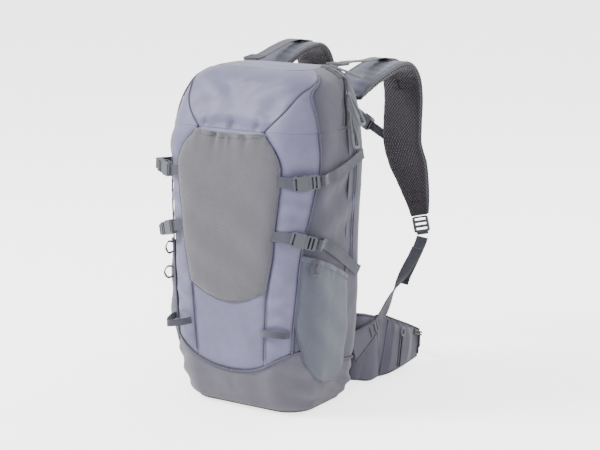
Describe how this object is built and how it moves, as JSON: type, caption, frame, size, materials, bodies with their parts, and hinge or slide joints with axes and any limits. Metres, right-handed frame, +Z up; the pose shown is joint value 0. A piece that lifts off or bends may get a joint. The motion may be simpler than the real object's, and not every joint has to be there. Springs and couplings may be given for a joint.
{
  "type": "hiking backpack",
  "caption": "Soft hiking backpack with a front stretch pocket, side pockets, compression straps, padded shoulder harness and hip belt.",
  "frame": {"origin": "on the ground, below the middle of the bag", "axes": "+Z up, the front faces -Y, the harness side faces +Y, +X to the wearer's right"},
  "size_m": [0.2858, 0.4098, 0.5042],
  "materials": {
    "satin": "satin nylon, lavender grey",
    "side_cloth": "matt polyester, warm grey",
    "base_cloth": "matt coated polyester",
    "front_stretch": "ribbed stretch knit",
    "side_stretch": "fine stretch knit, blue grey",
    "spacer_mesh": "spacer mesh, dark brown grey",
    "strap_cloth": "matt polyester over foam",
    "sheet_plastic": "moulded sheet",
    "slider_metal": "painted zinc",
    "pull_cord": "cord with a moulded end",
    "webbing": "woven polyester webbing",
    "buckle_plastic": "moulded acetal"
  },
  "bodies": {
    "bag": {"front_panel": "satin", "base_boot": "base_cloth", "back_panel": "side_cloth", "frame_sheet": "sheet_plastic", "lumbar_pad": "spacer_mesh", "front_pocket": "front_stretch", "corner_strip_r": "satin", "side_panel_r": "side_cloth", "back_pad_r": "spacer_mesh", "side_pocket_r": "side_stretch", "tool_loop_r": "webbing", "lifter_lock_r": "buckle_plastic", "lifter_web_r": "webbing", "anchor_tab_r": "side_cloth", "strap_web_r": "webbing", "corner_strip_l": "satin", "side_panel_l": "side_cloth", "back_pad_l": "spacer_mesh", "side_pocket_l": "side_stretch", "tool_loop_l": "webbing", "lifter_lock_l": "buckle_plastic", "lifter_web_l": "webbing", "anchor_tab_l": "side_cloth", "strap_web_l": "webbing", "compression_socket_upper_r": "buckle_plastic", "compression_web_upper_r": "webbing", "compression_socket_upper_l": "buckle_plastic", "compression_web_upper_l": "webbing", "compression_socket_lower_r": "buckle_plastic", "compression_web_lower_r": "webbing", "compression_socket_lower_l": "buckle_plastic", "compression_web_lower_l": "webbing"},
    "hood": {"hood": "satin"},
    "haul_loop": {"haul_loop": "webbing"},
    "zip_slider_lower": {"zip_slider_lower": "slider_metal"},
    "zip_pull_lower": {"zip_pull_lower": "pull_cord"},
    "zip_slider_upper": {"zip_slider_upper": "slider_metal"},
    "zip_pull_upper": {"zip_pull_upper": "pull_cord"},
    "top_zip_slider": {"top_zip_slider": "slider_metal"},
    "top_zip_pull": {"top_zip_pull": "pull_cord"},
    "plug_upper_r": {"compression_plug_upper_r": "buckle_plastic"},
    "plug_upper_l": {"compression_plug_upper_l": "buckle_plastic"},
    "plug_lower_r": {"compression_plug_lower_r": "buckle_plastic"},
    "plug_lower_l": {"compression_plug_lower_l": "buckle_plastic"},
    "strap_r": {"shoulder_strap_r": "strap_cloth", "strap_lock_r": "buckle_plastic"},
    "strap_l": {"shoulder_strap_l": "strap_cloth", "strap_lock_l": "buckle_plastic"},
    "sternum_r": {"sternum_clip_r": "buckle_plastic", "sternum_web_r": "webbing", "sternum_buckle_socket": "buckle_plastic"},
    "sternum_l": {"sternum_clip_l": "buckle_plastic", "sternum_web_l": "webbing"},
    "sternum_plug": {"sternum_buckle_plug": "buckle_plastic"},
    "hip_r": {"hip_wing_r": "strap_cloth", "hip_web_r": "webbing", "hip_buckle_socket": "buckle_plastic"},
    "hip_l": {"hip_wing_l": "strap_cloth", "hip_web_l": "webbing"},
    "hip_plug": {"hip_buckle_plug": "buckle_plastic"}
  },
  "joints": [
    {"name": "hood_open", "type": "hinge", "parent": "bag", "child": "hood", "pos_m": [0, -0.0827, 0.409], "axis": [1, 0, 0], "range_deg": [0, 65]},
    {"name": "haul_loop_lift", "type": "hinge", "parent": "bag", "child": "haul_loop", "pos_m": [0, 0.091, 0.464], "axis": [1, 0, 0], "range_deg": [0, 120]},
    {"name": "zip_slide_lower", "type": "slide", "parent": "bag", "child": "zip_slider_lower", "axis": [0.2142, -0.206, -0.9548], "range_m": [0, 0.016]},
    {"name": "zip_pull_swing_lower", "type": "hinge", "parent": "zip_slider_lower", "child": "zip_pull_lower", "pos_m": [0.12905, 0.02838, 0.42577], "axis": [0.9757, 0, 0.2189], "range_deg": [-35, 35]},
    {"name": "zip_slide_upper", "type": "slide", "parent": "bag", "child": "zip_slider_upper", "axis": [-0.3736, 0.5971, 0.7098], "range_m": [0, 0.012]},
    {"name": "zip_pull_swing_upper", "type": "hinge", "parent": "zip_slider_upper", "child": "zip_pull_upper", "pos_m": [0.12293, 0.03589, 0.45333], "axis": [0.8849, 0, 0.4657], "range_deg": [-35, 35]},
    {"name": "top_zip_slide", "type": "slide", "parent": "hood", "child": "top_zip_slider", "axis": [-0.9688, 0, 0.2479], "range_m": [0, 0.036]},
    {"name": "top_zip_pull_lift", "type": "hinge", "parent": "top_zip_slider", "child": "top_zip_pull", "pos_m": [0.08916, 0.044, 0.48893], "axis": [0.534, -0.8455, 0], "range_deg": [0, 80]},
    {"name": "unclip_upper_r", "type": "slide", "parent": "bag", "child": "plug_upper_r", "axis": [0.667, 0.7408, 0.0797], "range_m": [0, 0.022], "deforming": ["compression_web_upper_r"]},
    {"name": "unclip_upper_l", "type": "slide", "parent": "bag", "child": "plug_upper_l", "axis": [-0.8959, 0.437, 0.0797], "range_m": [0, 0.022], "deforming": ["compression_web_upper_l"]},
    {"name": "unclip_lower_r", "type": "slide", "parent": "bag", "child": "plug_lower_r", "axis": [0.6409, 0.7118, -0.2874], "range_m": [0, 0.022], "deforming": ["compression_web_lower_r"]},
    {"name": "unclip_lower_l", "type": "slide", "parent": "bag", "child": "plug_lower_l", "axis": [-0.8609, 0.4199, -0.2873], "range_m": [0, 0.022], "deforming": ["compression_web_lower_l"]},
    {"name": "strap_swing_r", "type": "hinge", "parent": "bag", "child": "strap_r", "pos_m": [0.078, 0.0925, 0.44], "axis": [1, 0, 0], "range_deg": [-22, 8], "deforming": ["lifter_web_r", "strap_web_r"]},
    {"name": "strap_swing_l", "type": "hinge", "parent": "bag", "child": "strap_l", "pos_m": [-0.078, 0.0925, 0.44], "axis": [1, 0, 0], "range_deg": [-22, 8], "deforming": ["lifter_web_l", "strap_web_l"]},
    {"name": "sternum_height_r", "type": "slide", "parent": "strap_r", "child": "sternum_r", "axis": [0, 0, 1], "range_m": [-0.012, 0.02]},
    {"name": "sternum_height_l", "type": "slide", "parent": "strap_l", "child": "sternum_l", "axis": [0, 0, 1], "range_m": [-0.012, 0.02]},
    {"name": "sternum_unclip", "type": "slide", "parent": "sternum_l", "child": "sternum_plug", "axis": [-0.8607, 0, 0.509], "range_m": [0, 0.022], "deforming": ["sternum_web_l"]},
    {"name": "hip_wing_swing_r", "type": "hinge", "parent": "bag", "child": "hip_r", "pos_m": [0.1065, 0.15015, 0.053], "axis": [0, 0, -1], "range_deg": [0, 50]},
    {"name": "hip_wing_swing_l", "type": "hinge", "parent": "bag", "child": "hip_l", "pos_m": [-0.1065, 0.15015, 0.053], "axis": [0, 0, 1], "range_deg": [0, 50]},
    {"name": "hip_buckle_close", "type": "slide", "parent": "hip_l", "child": "hip_plug", "axis": [1, 0, 0], "range_m": [0, 0.017], "deforming": ["hip_web_l"]}
  ],
  "couplings": [
    {"joint": "strap_swing_l", "follows": "strap_swing_r", "ratio": 1},
    {"joint": "sternum_height_l", "follows": "sternum_height_r", "ratio": 1}
  ]
}
